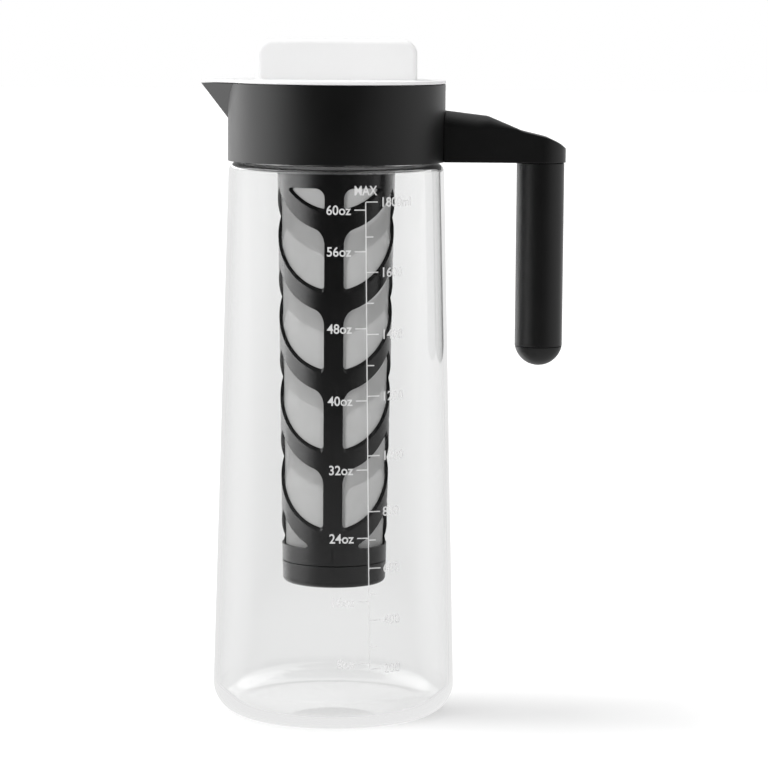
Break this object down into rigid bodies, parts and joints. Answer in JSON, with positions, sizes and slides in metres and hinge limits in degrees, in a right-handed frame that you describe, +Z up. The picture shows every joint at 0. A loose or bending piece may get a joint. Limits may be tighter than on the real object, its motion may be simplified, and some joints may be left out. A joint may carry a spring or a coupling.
{
  "type": "cold brew pitcher",
  "caption": "Tapered glass pitcher with a spouted collar, a side handle with a round grip, and a lift-off lid that carries a screw-in filter core.",
  "frame": {"origin": "centre of the glass foot, on the surface that it stands on", "axes": "+Z up along the carafe's axis, +X towards the handle, -X towards the spout"},
  "size_m": [0.1647, 0.11, 0.3064],
  "materials": {
    "clear_glass": "clear polished glass",
    "black_plastic": "fine satin black",
    "core_plastic": "smooth satin black",
    "frosted_lid": "translucent white",
    "grey_silicone": "matte grey silicone",
    "filter_mesh": "fine woven nylon mesh",
    "steel": "plain stainless steel"
  },
  "bodies": {
    "carafe": {"glass_carafe": "clear_glass", "neck_clamp_ring": "black_plastic", "neck_gasket": "grey_silicone", "collar_band": "black_plastic", "handle_arm": "black_plastic", "arm_screw_lower": "steel", "arm_screw_upper": "steel", "grip_tube": "black_plastic", "grip_washer": "steel", "grip_bolt": "steel", "grip_end_plug": "black_plastic"},
    "lid": {"lid_plate": "frosted_lid", "lid_skirt": "frosted_lid", "lid_gasket": "grey_silicone"},
    "core_seal_ring": {"core_seal": "grey_silicone"},
    "core": {"core_cage": "core_plastic", "mesh_sleeve": "filter_mesh", "mesh_top_rim": "core_plastic", "mesh_foot_rim": "core_plastic"},
    "cap_seal_ring": {"cap_seal": "grey_silicone"},
    "core_cap": {"core_base_cap": "core_plastic"}
  },
  "joints": [
    {"name": "lid_lift", "type": "slide", "parent": "carafe", "child": "lid", "axis": [0, 0, 1], "range_m": [0, 0.235]},
    {"name": "core_drop", "type": "slide", "parent": "lid", "child": "core_seal_ring", "axis": [0, 0, -1], "range_m": [0, 0.0101]},
    {"name": "core_turn", "type": "hinge", "parent": "core_seal_ring", "child": "core", "pos_m": [0, 0, 0.2683], "axis": [0, 0, -1], "range_deg": [0, 300]},
    {"name": "cap_drop", "type": "slide", "parent": "core", "child": "cap_seal_ring", "axis": [0, 0, -1], "range_m": [0, 0.0041]},
    {"name": "cap_turn", "type": "hinge", "parent": "cap_seal_ring", "child": "core_cap", "pos_m": [0, 0, 0.0698], "axis": [0, 0, -1], "range_deg": [0, 180]}
  ],
  "couplings": [
    {"joint": "core_drop", "follows": "core_turn", "m_per_rad": 0.0019099},
    {"joint": "cap_drop", "follows": "cap_turn", "m_per_rad": 0.0012732}
  ]
}
